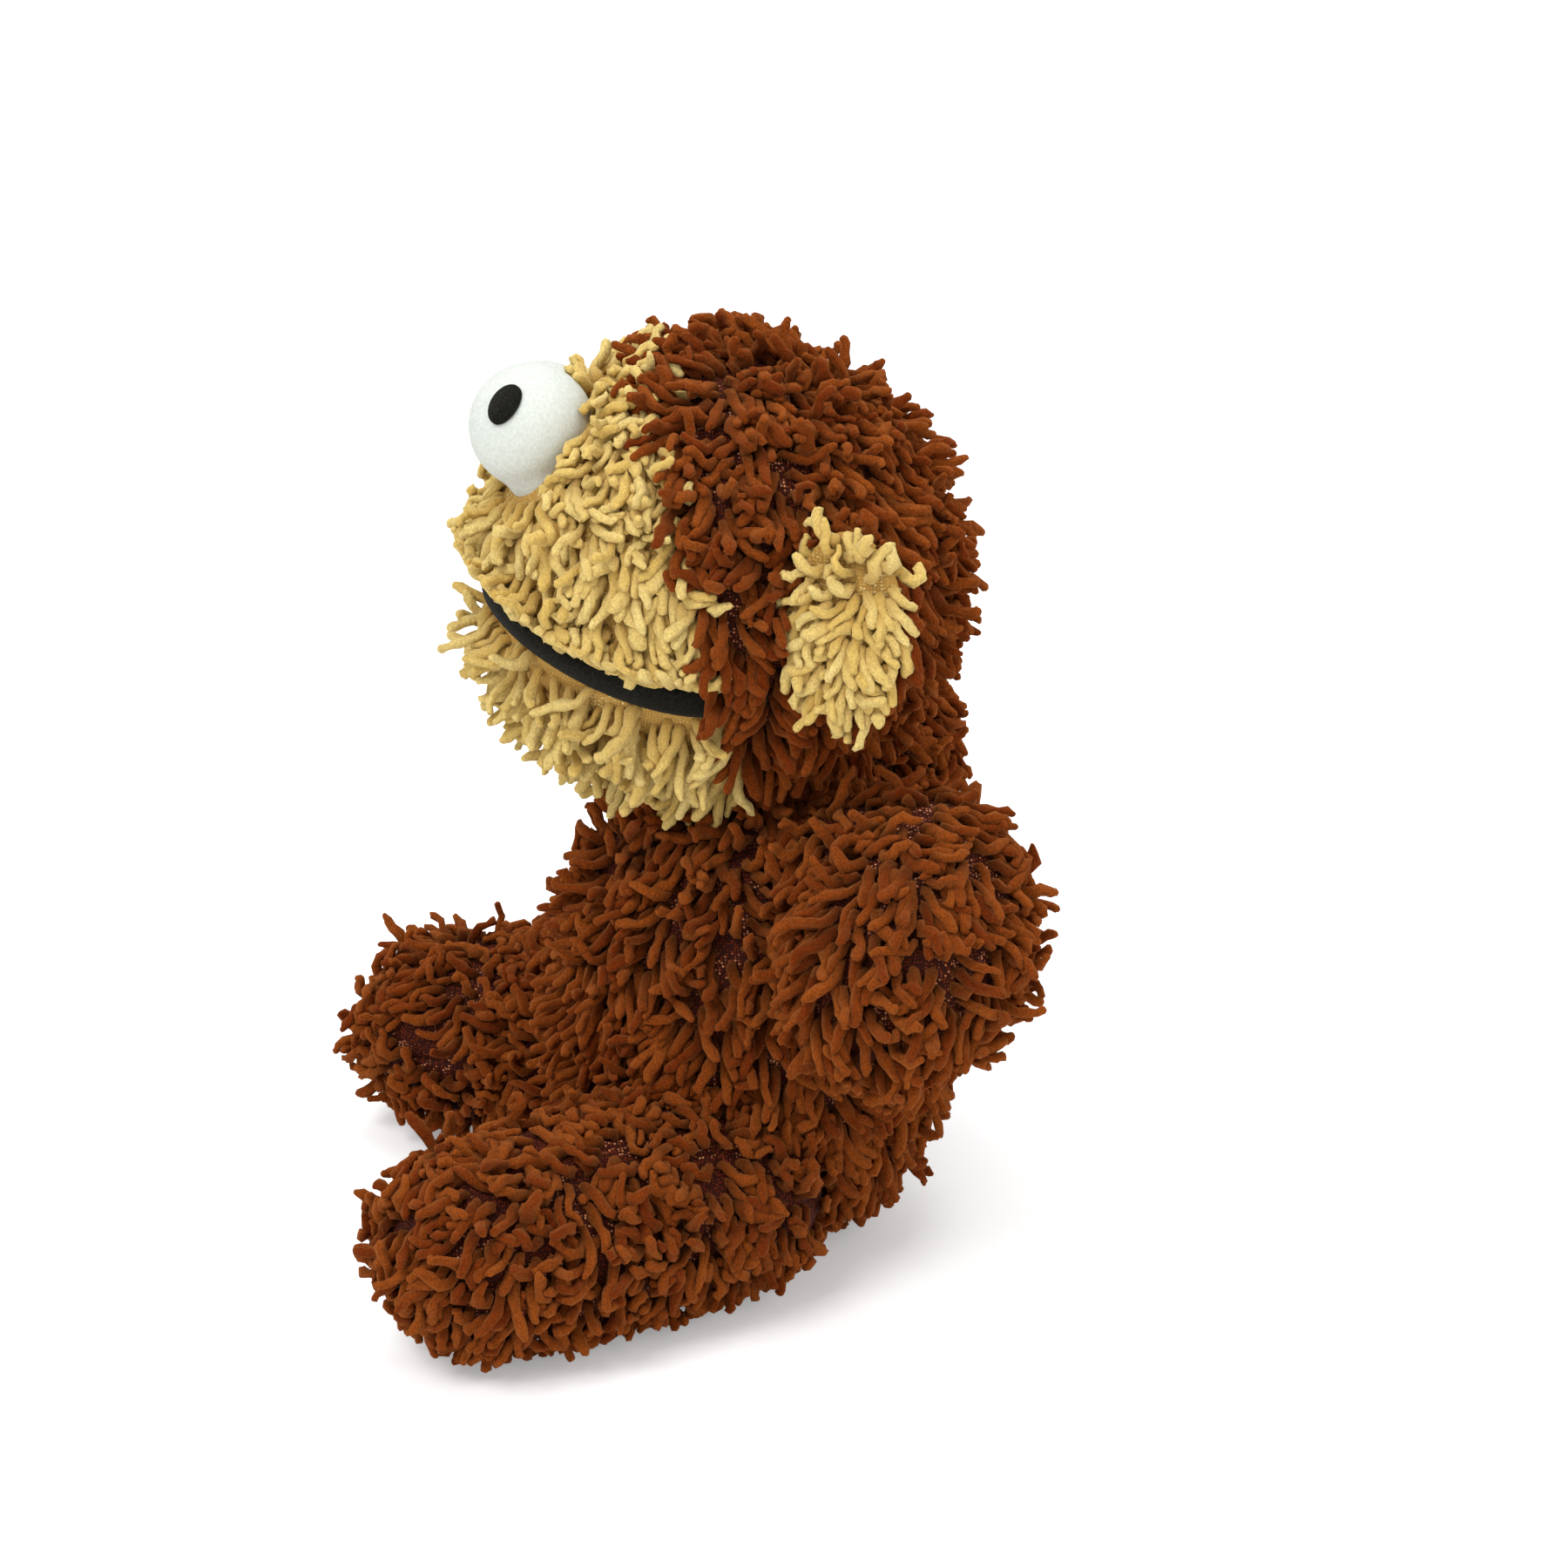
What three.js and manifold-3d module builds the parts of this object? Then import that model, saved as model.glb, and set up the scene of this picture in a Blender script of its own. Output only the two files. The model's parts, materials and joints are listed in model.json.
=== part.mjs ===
// A seated stuffed monkey sewn from chenille fabric, 25 cm tall. Millimetres, +Z up.
// It faces -Y with its left side at +X, and its seat and legs rest on Z = 0.
// Each sewn panel is a shell that holds the knitted backing and the bulk of its chenille pile.
import * as THREE from 'three';
import { mergeVertices } from 'three/addons/utils/BufferGeometryUtils.js';
import Module from 'manifold-3d';

const wasm = await Module();
wasm.setup();

// Driving dimensions
const PILE = 4.5; // bulk of the chenille strands over the backing
const BACKING = 1.5; // knitted backing fabric
const GAP = 0.3; // clearance between neighbouring pieces
const TURNING_GAP = 0.8; // clearance between round faces that turn in each other
const DIMPLE_GAP = 2; // the same, behind a limb's gusset
const SKIN = PILE + BACKING;

const HEAD_RADII = [63.5, 64.5, 60.5];
const HEAD_CENTRE = [0, -10, 191];
const NECK = [0, -8, 127]; // where the head turns and nods on the body
const NECK_GUSSET_RADIUS = 15;
const HEAD_LEAN = 5; // degrees, towards the right shoulder
const HEAD_TURN = 6; // degrees, the face towards the right
const HOOD_SEAM = { forward: 3.5, tilt: 12 }; // plane between face and hood, its top leaning forward
const MOUTH = { front: -5.5, side: -26.5, width: 7 }; // heights from the head's centre
const FELT = 2.3;

const EYE_CENTRES = { left: [17, -46.7, 40], right: [-17, -45.7, 35] }; // from the head's centre; the right is sewn lower
const EYE_RADIUS = 16.5;
const EYE_FABRIC = 1.2;
const EYE_STEM = { radius: 12, offset: [0, 4, -10] }; // the narrower foot that is sewn to the face
const PUPIL = { length: 12, width: 8, thickness: 1 };
const PUPIL_FACING = [0.8, -0.37, 0.49];
const PUPIL_UP = [-0.21, 0.54, 0.81];

const EAR = { width: 35, height: 54, thickness: 10, root: 15, stand: 30, drop: 3 }; // root and stand in degrees

const TORSO_RADII = [56.5, 55.5, 74];
const TORSO_CENTRE = [0, 1, 70];
const SIDE_SEAM = 3; // Y of the seams between the front and back panels

const ARM = {
  shoulder: [50, 24, 121],
  shoulderRadius: 23,
  middle: [68, 32, 111],
  radii: [31, 31, 41],
  hangs: [0.55, -0.4, -0.73], // from the shoulder's end to the hand's
  outward: [0.8, 0.1, 0.55],
  gussetFacing: [-0.9, -0.28, -0.33],
  gussetSpread: 26,
  room: 6, // how far the torso stays clear
};
const LEG = {
  spine: [[40, -14, 31], [57, -45, 31], [72, -78, 31]], // hip, knee, toe
  radii: [32, 32, 30.5],
  gussetFacing: [-0.75, 0.6, 0.28],
  gussetSpread: 38,
  room: [3, 8, 14], // how far the torso stays clear at the spine's points
};
const LEG_RAISE = 25; // degrees, the highest that a leg lifts
const GUSSET_THICKNESS = 2;

const SIDES = { left: 1, right: -1 };
const HEAD_MESH = [20, 11]; // divisions round and along each kind of solid
const TORSO_MESH = [18, 10];
const LIMB_MESH = [12, 4];
const SMALL_MESH = [16, 9];
const END_DIVISIONS = 3; // along each round end of a limb
const HEAD_ROOM = 8; // how far the torso stays clear of the head, which nods into that space
const FAR = 300; // larger than the whole toy
const SLIVER = 0.05; // corners closer than this are welded into one

// Materials
const cloth = (color) => new THREE.MeshStandardMaterial({ color, roughness: 0.95, metalness: 0 });
const materials = {
  brown: cloth(0x5f2b0f),
  tan: cloth(0xc8a65b),
  white: cloth(0xe9e9da),
  felt: cloth(0x201f18),
  stuffing: cloth(0xf0efe8),
  seam: cloth(0x4a2410),
};

// Solids and meshes
const X = new THREE.Vector3(1, 0, 0);
const Y = new THREE.Vector3(0, 1, 0);
const Z = new THREE.Vector3(0, 0, 1);
const radians = THREE.MathUtils.degToRad;
const vector = (values) => new THREE.Vector3(...values);
const mirrored = (values, side) => vector([values[0] * side, values[1], values[2]]);

function solidOf(geometry, weld = 1e-4) {
  geometry.deleteAttribute('normal');
  geometry.deleteAttribute('uv');
  const welded = mergeVertices(geometry, weld);
  const corners = Array.from(welded.index.array);
  const triVerts = [];
  for (let i = 0; i < corners.length; i += 3) {
    const [a, b, c] = corners.slice(i, i + 3);
    if (a !== b && b !== c && c !== a) triVerts.push(a, b, c);
  }
  return new wasm.Manifold(new wasm.Mesh({
    numProp: 3,
    vertProperties: new Float32Array(welded.attributes.position.array),
    triVerts: new Uint32Array(triVerts),
  }));
}

function geometryOf(solid) {
  const { vertProperties, triVerts } = solid.getMesh();
  const geometry = new THREE.BufferGeometry();
  geometry.setAttribute('position', new THREE.BufferAttribute(vertProperties, 3));
  geometry.setIndex(new THREE.BufferAttribute(triVerts, 1));
  return geometry;
}

// The largest body of a solid: a cut between facets can leave slivers beside it.
function mainBody(solid) {
  return solid.decompose().reduce((largest, next) => (next.volume() > largest.volume() ? next : largest));
}

function pieceOf(name, solid, material) {
  const whole = mainBody(solidOf(geometryOf(mainBody(solid)), SLIVER));
  const geometry = geometryOf(whole);
  geometry.computeVertexNormals();
  const piece = new THREE.Mesh(geometry, material);
  piece.name = name;
  return piece;
}

const moved = (solid, matrix) => solid.transform(matrix.elements);
const joined = (solids) => solids.reduce((all, next) => all.add(next));

function ellipsoid(radii, centre = new THREE.Vector3(), [around, rows] = SMALL_MESH) {
  const ball = new THREE.SphereGeometry(1, around, rows);
  ball.rotateX(Math.PI / 2);
  ball.scale(...radii);
  ball.translate(centre.x, centre.y, centre.z);
  return solidOf(ball);
}

const ball = (radius, centre, mesh) => ellipsoid([radius, radius, radius], centre, mesh);
const grown = (radii, by) => radii.map((radius) => radius + by);

// All of space on the side of a plane that its normal points to, starting at a distance from it.
function beyond(normal, point, distance = 0) {
  const block = new THREE.BoxGeometry(FAR, FAR, FAR);
  block.translate(0, 0, FAR / 2 + distance);
  block.applyQuaternion(new THREE.Quaternion().setFromUnitVectors(Z, normal.clone().normalize()));
  block.translate(point.x, point.y, point.z);
  return solidOf(block);
}

// A bent sausage along a curve, its radius given at the start, middle and end.
function sausage(spine, radii, [around, rows] = LIMB_MESH) {
  const [start, middle, end] = radii;
  const radiusAt = (t) => start * (1 - t) * (1 - 2 * t) + middle * 4 * t * (1 - t) + end * t * (2 * t - 1);
  const capsule = new THREE.CapsuleGeometry(1, 1, END_DIVISIONS, around, rows);
  const points = capsule.attributes.position;
  for (let i = 0; i < points.count; i++) {
    const along = THREE.MathUtils.clamp(points.getY(i) + 0.5, 0, 1);
    const intoEnd = points.getY(i) + 0.5 - along;
    const tangent = spine.getTangent(along);
    const across = new THREE.Vector3().crossVectors(X, tangent).normalize();
    const outward = new THREE.Vector3().crossVectors(across, tangent);
    const radius = radiusAt(along);
    const point = spine.getPoint(along)
      .addScaledVector(across, points.getX(i) * radius)
      .addScaledVector(outward, points.getZ(i) * radius)
      .addScaledVector(tangent, intoEnd * radius);
    points.setXYZ(i, point.x, point.y, point.z);
  }
  return solidOf(capsule);
}

const floor = beyond(Z.clone().negate(), new THREE.Vector3());

function turnedAbout(pivot, axis, degrees) {
  const there = new THREE.Matrix4().makeTranslation(pivot);
  const turn = new THREE.Matrix4().makeRotationAxis(axis, radians(degrees));
  const back = new THREE.Matrix4().makeTranslation(pivot.clone().negate());
  return there.multiply(turn).multiply(back);
}

// A cup of fabric that closes a limb's root, concentric with the limb's joint.
function gussetCup(innerRadius, spreadDegrees) {
  const spread = radians(spreadDegrees);
  const profile = [];
  const divisions = 4;
  for (const [radius, from, to] of [
    [innerRadius + GUSSET_THICKNESS, 0, spread],
    [innerRadius, spread, 0],
  ]) {
    for (let i = 0; i <= divisions; i++) {
      const angle = from + ((to - from) * i) / divisions;
      profile.push(new THREE.Vector2(radius * Math.sin(angle), -radius * Math.cos(angle)));
    }
  }
  profile.push(profile[0].clone());
  return new THREE.LatheGeometry(profile, SMALL_MESH[0]);
}

// Head
const headCentre = vector(HEAD_CENTRE);
const neck = vector(NECK);
const headPlace = turnedAbout(neck, Y, -HEAD_LEAN)
  .multiply(turnedAbout(neck, Z, -HEAD_TURN))
  .multiply(new THREE.Matrix4().makeTranslation(headCentre));
const toHead = headPlace.clone().invert();
const backingRadii = grown(HEAD_RADII, -PILE);
const headBacking = ellipsoid(backingRadii, undefined, HEAD_MESH);
const neckSocket = ball(NECK_GUSSET_RADIUS + TURNING_GAP, neck);
const neckSocketInHead = moved(neckSocket, toHead);

// The band between two curves that run beside the mouth line, right across the head.
function mouthBand(low, high) {
  const [back, front] = [FAR / 6, -FAR / 3];
  const bend = (MOUTH.front - MOUTH.side) / backingRadii[1] ** 2;
  const height = (y) => MOUTH.side + bend * y ** 2;
  const control = MOUTH.side + bend * back * front;
  const outline = new THREE.Shape();
  outline.moveTo(back, height(back) + low);
  outline.quadraticCurveTo((back + front) / 2, control + low, front, height(front) + low);
  outline.lineTo(front, height(front) + high);
  outline.quadraticCurveTo((back + front) / 2, control + high, back, height(back) + high);
  const band = new THREE.ExtrudeGeometry(outline, { depth: FAR, curveSegments: 24, bevelEnabled: false });
  band.translate(0, 0, -FAR / 2);
  band.applyMatrix4(new THREE.Matrix4().makeBasis(Y, Z, X));
  return solidOf(band);
}

function eyeSolid(shrink, centre, side) {
  const stem = centre.clone().add(mirrored(EYE_STEM.offset, side));
  return ball(EYE_RADIUS - shrink, centre).add(ball(EYE_STEM.radius - shrink, stem));
}

function addEye(head, sideName) {
  const side = SIDES[sideName];
  const centre = vector(EYE_CENTRES[sideName]);
  const face = ellipsoid(grown(backingRadii, GAP), undefined, HEAD_MESH);
  const cover = eyeSolid(0, centre, side).subtract(eyeSolid(EYE_FABRIC, centre, side)).subtract(face);
  const stuffing = eyeSolid(EYE_FABRIC + GAP, centre, side).subtract(face);
  const facing = mirrored(PUPIL_FACING, side).normalize();
  const long = mirrored(PUPIL_UP, side);
  long.addScaledVector(facing, -long.dot(facing)).normalize();
  const oval = new THREE.CylinderGeometry(1, 1, EYE_RADIUS * 2, 20);
  oval.translate(0, EYE_RADIUS, 0);
  oval.scale(PUPIL.width / 2, 1, PUPIL.length / 2);
  const wide = new THREE.Vector3().crossVectors(facing, long);
  oval.applyMatrix4(new THREE.Matrix4().makeBasis(wide, facing, long).setPosition(centre));
  const patch = ball(EYE_RADIUS + GAP + PUPIL.thickness, centre);
  const pupil = patch.subtract(ball(EYE_RADIUS + GAP, centre)).intersect(solidOf(oval));
  head.add(pieceOf(`eye_cover_${sideName}`, cover, materials.white));
  head.add(pieceOf(`eye_stuffing_${sideName}`, stuffing, materials.stuffing));
  head.add(pieceOf(`pupil_${sideName}`, pupil, materials.felt));
}

function addEar(head, sideName) {
  const side = SIDES[sideName];
  const root = radians(EAR.root);
  const reach = 1 + (2 * GAP) / HEAD_RADII[0];
  const place = vector([side * HEAD_RADII[0] * Math.cos(root) * reach, HEAD_RADII[1] * Math.sin(root) * reach, -EAR.drop]);
  const standing = 90 + EAR.root - EAR.stand; // direction from the root to the free edge
  const facing = side > 0 ? standing : 180 - standing;
  const disc = ellipsoid([EAR.width / 2, EAR.thickness / 2, EAR.height / 2], vector([EAR.width / 2, 0, 0]));
  const ear = new THREE.Group();
  ear.position.copy(place);
  ear.rotation.z = radians(facing);
  const front = Y.clone().multiplyScalar(-side);
  const back = Y.clone().multiplyScalar(side);
  const origin = new THREE.Vector3();
  const half = GAP / 2;
  ear.add(pieceOf(`ear_front_${sideName}`, disc.intersect(beyond(front, origin, half)), materials.tan));
  ear.add(pieceOf(`ear_back_${sideName}`, disc.intersect(beyond(back, origin, half)), materials.brown));
  head.add(ear);
}

function makeHead() {
  const head = new THREE.Group();
  head.applyMatrix4(headPlace);
  const skin = ellipsoid(HEAD_RADII, undefined, HEAD_MESH)
    .subtract(ellipsoid(grown(HEAD_RADII, -SKIN), undefined, HEAD_MESH))
    .subtract(neckSocketInHead);
  const tilt = radians(HOOD_SEAM.tilt);
  const backward = new THREE.Vector3(0, Math.cos(tilt), Math.sin(tilt));
  const seam = new THREE.Vector3(0, -HOOD_SEAM.forward, 0);
  const faceSide = beyond(backward.clone().negate(), seam, GAP / 2);
  const hood = skin.intersect(beyond(backward, seam, GAP / 2));
  const pockets = joined(Object.keys(SIDES).map((name) => eyeSolid(-GAP, vector(EYE_CENTRES[name]), SIDES[name])));
  const face = skin.intersect(faceSide).subtract(pockets.subtract(headBacking));
  const lip = MOUTH.width / 2;
  const feltSkin = ellipsoid(grown(HEAD_RADII, FELT - SKIN), undefined, HEAD_MESH)
    .subtract(ellipsoid(grown(HEAD_RADII, -SKIN), undefined, HEAD_MESH));
  const origin = new THREE.Vector3();
  head.add(pieceOf('hood_left', hood.intersect(beyond(X, origin, GAP / 2)), materials.brown));
  head.add(pieceOf('hood_right', hood.intersect(beyond(X.clone().negate(), origin, GAP / 2)), materials.brown));
  head.add(pieceOf('face_upper', face.intersect(mouthBand(lip + GAP, FAR / 2)), materials.tan));
  head.add(pieceOf('face_lower', face.intersect(mouthBand(-FAR / 2, -lip - GAP)), materials.tan));
  head.add(pieceOf('mouth_strip', feltSkin.intersect(faceSide).intersect(mouthBand(-lip, lip)), materials.felt));
  const stuffing = ellipsoid(grown(HEAD_RADII, -SKIN - GAP), undefined, HEAD_MESH).subtract(neckSocketInHead);
  head.add(pieceOf('head_stuffing', stuffing, materials.stuffing));
  for (const sideName of Object.keys(SIDES)) {
    addEye(head, sideName);
    addEar(head, sideName);
  }
  return head;
}

// Limbs: an arm is a fat oval over a round shoulder, a leg is a sausage
function armSolid(side, grow) {
  const radii = grown(ARM.radii, grow);
  const along = mirrored(ARM.hangs, side).normalize();
  const turn = new THREE.Quaternion().setFromUnitVectors(Z, along);
  const place = new THREE.Matrix4().makeRotationFromQuaternion(turn).setPosition(mirrored(ARM.middle, side));
  return moved(ellipsoid(radii), place).add(ball(ARM.shoulderRadius + grow, mirrored(ARM.shoulder, side)));
}

function legSolid(side, grow) {
  const spine = new THREE.CatmullRomCurve3(LEG.spine.map((point) => mirrored(point, side)));
  const radii = LEG.radii.map((radius, i) => radius + (Array.isArray(grow) ? grow[i] : grow));
  return sausage(spine, radii);
}

function addLimb(toy, limbSolid, name, sideName, [outerName, innerName], middle, outward) {
  const side = SIDES[sideName];
  const point = mirrored(middle, side);
  const outside = mirrored(outward, side);
  const skin = limbSolid(side, 0).subtract(limbSolid(side, -SKIN)).subtract(floor);
  const outer = skin.intersect(beyond(outside, point, GAP / 2));
  const inner = skin.intersect(beyond(outside.clone().negate(), point, GAP / 2));
  toy.add(pieceOf(`${name}_${outerName}_${sideName}`, outer, materials.brown));
  toy.add(pieceOf(`${name}_${innerName}_${sideName}`, inner, materials.brown));
  toy.add(pieceOf(`${name}_stuffing_${sideName}`, limbSolid(side, -SKIN - GAP), materials.stuffing));
}

function addGusset(toy, name, sideName, pivot, rootRadius, { gussetFacing, gussetSpread }) {
  const side = SIDES[sideName];
  const cup = new THREE.Mesh(gussetCup(rootRadius + TURNING_GAP, gussetSpread), materials.seam);
  cup.name = `${name}_gusset_${sideName}`;
  cup.position.copy(mirrored(pivot, side));
  cup.quaternion.setFromUnitVectors(Y.clone().negate(), mirrored(gussetFacing, side).normalize());
  toy.add(cup);
}

// The hollow in the torso that a limb's gusset turns in.
const dimple = (pivot, rootRadius, side) =>
  ball(rootRadius + TURNING_GAP + GUSSET_THICKNESS + DIMPLE_GAP, mirrored(pivot, side));

// Torso
function addTorso(toy) {
  const centre = vector(TORSO_CENTRE);
  const headRoom = moved(ellipsoid(grown(HEAD_RADII, HEAD_ROOM), undefined, HEAD_MESH), headPlace);
  const rooms = [headRoom, neckSocket];
  for (const side of Object.values(SIDES)) {
    const [hip] = LEG.spine;
    const legRoom = legSolid(side, LEG.room);
    const raised = turnedAbout(mirrored(hip, side), X, -LEG_RAISE);
    rooms.push(dimple(ARM.shoulder, ARM.shoulderRadius, side), armSolid(side, ARM.room));
    rooms.push(dimple(hip, LEG.radii[0], side), legRoom, moved(legRoom, raised));
  }
  const taken = joined(rooms);
  const skin = ellipsoid(TORSO_RADII, centre, TORSO_MESH)
    .subtract(ellipsoid(grown(TORSO_RADII, -SKIN), centre, TORSO_MESH))
    .subtract(floor)
    .subtract(taken);
  const seam = new THREE.Vector3(0, SIDE_SEAM, 0);
  const front = skin.intersect(beyond(Y.clone().negate(), seam, GAP / 2));
  const back = skin.intersect(beyond(Y, seam, GAP / 2));
  const stuffing = ellipsoid(grown(TORSO_RADII, -SKIN - GAP), centre, TORSO_MESH).subtract(taken);
  toy.add(pieceOf('torso_front_panel', front, materials.brown));
  toy.add(pieceOf('torso_back_panel', back, materials.brown));
  toy.add(pieceOf('torso_stuffing', stuffing, materials.stuffing));
  toy.add(pieceOf('neck_gusset', ball(NECK_GUSSET_RADIUS, neck), materials.seam));
}

// The whole toy, moved so that the origin is under the middle of its bounding box.
const toy = new THREE.Group();
addTorso(toy);
toy.add(makeHead());
for (const sideName of Object.keys(SIDES)) {
  const [hip, knee] = LEG.spine;
  addGusset(toy, 'shoulder', sideName, ARM.shoulder, ARM.shoulderRadius, ARM);
  addGusset(toy, 'hip', sideName, hip, LEG.radii[0], LEG);
  addLimb(toy, armSolid, 'arm', sideName, ['outer_panel', 'inner_panel'], ARM.middle, ARM.outward);
  addLimb(toy, legSolid, 'leg', sideName, ['upper_panel', 'sole_panel'], knee, [0, 0, 1]);
}
const box = new THREE.Box3().setFromObject(toy);
toy.position.x = -(box.min.x + box.max.x) / 2;
toy.position.y = -(box.min.y + box.max.y) / 2;

export default toy;
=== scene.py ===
"""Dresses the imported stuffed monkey: knitted forms, chenille strands, fleece eyes, felt mouth, plain stage.

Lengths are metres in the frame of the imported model: +Z up, the toy faces -Y, its left side is +X.
"""

import json
import logging
import math
from collections.abc import Callable
from dataclasses import dataclass, field, replace
from enum import Enum

import bmesh
import bpy
import numpy as np
from mathutils import Matrix, Vector


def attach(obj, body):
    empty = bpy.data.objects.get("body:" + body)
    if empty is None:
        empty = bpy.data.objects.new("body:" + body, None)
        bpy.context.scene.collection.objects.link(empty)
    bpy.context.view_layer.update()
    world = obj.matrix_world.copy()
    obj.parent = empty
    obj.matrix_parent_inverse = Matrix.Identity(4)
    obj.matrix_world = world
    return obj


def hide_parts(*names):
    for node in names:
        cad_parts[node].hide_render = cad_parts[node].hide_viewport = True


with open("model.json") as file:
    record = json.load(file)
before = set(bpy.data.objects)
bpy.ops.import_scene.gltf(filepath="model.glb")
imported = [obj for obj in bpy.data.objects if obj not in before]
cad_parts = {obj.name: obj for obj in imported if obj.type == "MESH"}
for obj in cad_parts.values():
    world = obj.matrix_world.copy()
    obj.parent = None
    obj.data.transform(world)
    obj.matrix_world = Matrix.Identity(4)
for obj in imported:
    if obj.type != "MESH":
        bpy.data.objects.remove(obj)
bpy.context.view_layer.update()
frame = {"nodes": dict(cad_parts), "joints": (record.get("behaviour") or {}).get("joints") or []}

LOG = logging.getLogger("stuffed_monkey")
MM = 0.001
PILE_DEPTH = 4.5 * MM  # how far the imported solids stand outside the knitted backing
BACKING = 1.2 * MM
SEED = 7
RIM = 0.35  # a pupil's thickness at its edge, as a share of that in its middle
ROUNDING = 2.2  # how soon it reaches that of the middle

Points = np.ndarray


class Side(Enum):
    """The toy's own left and right."""

    LEFT = 1
    RIGHT = -1

    @property
    def word(self) -> str:
        """The side's name as the nodes spell it."""
        return self.name.lower()

    def place(self, x: float, y: float, z: float) -> Vector:
        """A place or direction in millimetres on the left side, mirrored to this one, in metres."""
        return Vector((x * self.value, y, z)) * MM


class Cloth(Enum):
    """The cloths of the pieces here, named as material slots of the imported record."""

    BROWN = "brown_chenille"
    TAN = "tan_chenille"
    FLEECE = "white_fleece"
    FELT = "black_felt"


def pivot(joint_name: str) -> Vector:
    """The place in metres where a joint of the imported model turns."""
    return Vector(next(j["pos_m"] for j in frame["joints"] if j["name"] == joint_name))


def unit(vectors: Points) -> Points:
    """Vectors scaled to length one along the last axis."""
    return vectors / np.maximum(np.linalg.norm(vectors, axis=-1, keepdims=True), 1e-9)


# --------------------------------------------------------------------------- shader helpers


class Shader:
    """A node tree with short calls to add nodes and join them."""

    def __init__(self, tree: bpy.types.NodeTree) -> None:
        """Takes the tree that nodes are added to."""
        self.tree = tree

    def feed(self, node: bpy.types.Node, inputs: dict) -> None:
        """Gives a node's named or numbered inputs their values, or links output sockets to them.

        Args:
            node: The node.
            inputs: A value or an output socket for each named or numbered input.
        """
        for name, value in inputs.items():
            if isinstance(value, bpy.types.NodeSocket):
                self.tree.links.new(value, node.inputs[name])
            else:
                node.inputs[name].default_value = value

    def node(self, kind: str, inputs: dict | None = None, **settings: object) -> bpy.types.Node:
        """Adds a node.

        Args:
            kind: The node's type name without its ShaderNode prefix.
            inputs: What feed() gives to its inputs.
            settings: Properties of the node itself.

        Returns:
            The new node.
        """
        made = self.tree.nodes.new("ShaderNode" + kind)
        for name, value in settings.items():
            setattr(made, name, value)
        self.feed(made, inputs or {})
        return made

    def noise(self, where: bpy.types.NodeSocket, size: float, detail: float = 2.0,
              roughness: float = 0.5) -> bpy.types.NodeSocket:
        """Noise whose blotches are about size metres across."""
        texture = self.node("TexNoise", {"Vector": where, "Scale": 1.0 / size, "Detail": detail,
                                         "Roughness": roughness})
        return texture.outputs["Fac"]

    def spread(self, value: bpy.types.NodeSocket, low: float, high: float, out_low: float = 0.0,
               out_high: float = 1.0) -> bpy.types.NodeSocket:
        """A value mapped from low...high to out_low...out_high, held at the ends."""
        made = self.node("MapRange", {"Value": value, "From Min": low, "From Max": high,
                                      "To Min": out_low, "To Max": out_high}, clamp=True)
        return made.outputs["Result"]

    def mix(self, amount: object, first: object, second: object) -> bpy.types.NodeSocket:
        """Two colours mixed."""
        return self.node("Mix", {0: amount, 6: first, 7: second}, data_type="RGBA").outputs[2]

    def maths(self, operation: str, first: object, second: object) -> bpy.types.NodeSocket:
        """Two numbers joined by a Math node."""
        return self.node("Math", {0: first, 1: second}, operation=operation).outputs[0]


def rgba(red: float, green: float, blue: float) -> tuple[float, float, float, float]:
    """A colour given as display values.

    Args:
        red: The display value of red, from 0 to 255.
        green: That of green.
        blue: That of blue.

    Returns:
        The colour with the linear values that shaders take.
    """
    def linear(value: float) -> float:
        """One channel."""
        share = value / 255
        return share / 12.92 if share <= 0.04045 else ((share + 0.055) / 1.055) ** 2.4
    return (linear(red), linear(green), linear(blue), 1.0)


def fuzz_effect() -> bpy.types.NodeTree:
    """Short brushed fibres, which bend the normal by a fine pattern.

    Returns:
        The group, whose inputs are the fibres' and the lumps' size and their depth, in metres.
    """
    tree = bpy.data.node_groups.new("brushed_fibres", "ShaderNodeTree")
    for label, default in (("Fibre", 0.7 * MM), ("Lump", 1.6 * MM), ("Depth", 0.7 * MM)):
        socket = tree.interface.new_socket(name=label, in_out="INPUT", socket_type="NodeSocketFloat")
        socket.default_value = default
    tree.interface.new_socket(name="Normal", in_out="OUTPUT", socket_type="NodeSocketVector")
    add = Shader(tree)
    entry = tree.nodes.new("NodeGroupInput")
    where = add.node("TexCoord").outputs["Object"]
    heights = []
    for label, detail, roughness, share in (("Fibre", 4.0, 0.75, 0.85), ("Lump", 1.0, 0.5, 0.9)):
        scale = add.maths("DIVIDE", 1.0, entry.outputs[label])
        pattern = add.node("TexNoise", {"Vector": where, "Scale": scale, "Detail": detail,
                                        "Roughness": roughness})
        heights.append(add.maths("MULTIPLY", pattern.outputs["Fac"], share))
    bump = add.node("Bump", {"Height": add.maths("ADD", *heights), "Distance": entry.outputs["Depth"],
                             "Strength": 1.0})
    tree.links.new(bump.outputs["Normal"], tree.nodes.new("NodeGroupOutput").inputs["Normal"])
    return tree


def new_finish(name: str) -> tuple[bpy.types.Material, Shader, bpy.types.Node]:
    """Starts a material.

    Args:
        name: The material's name.

    Returns:
        The material, a helper that adds nodes to its tree, and its surface node.
    """
    made = bpy.data.materials.new(name)
    made.use_nodes = True
    return made, Shader(made.node_tree), made.node_tree.nodes["Principled BSDF"]


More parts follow.
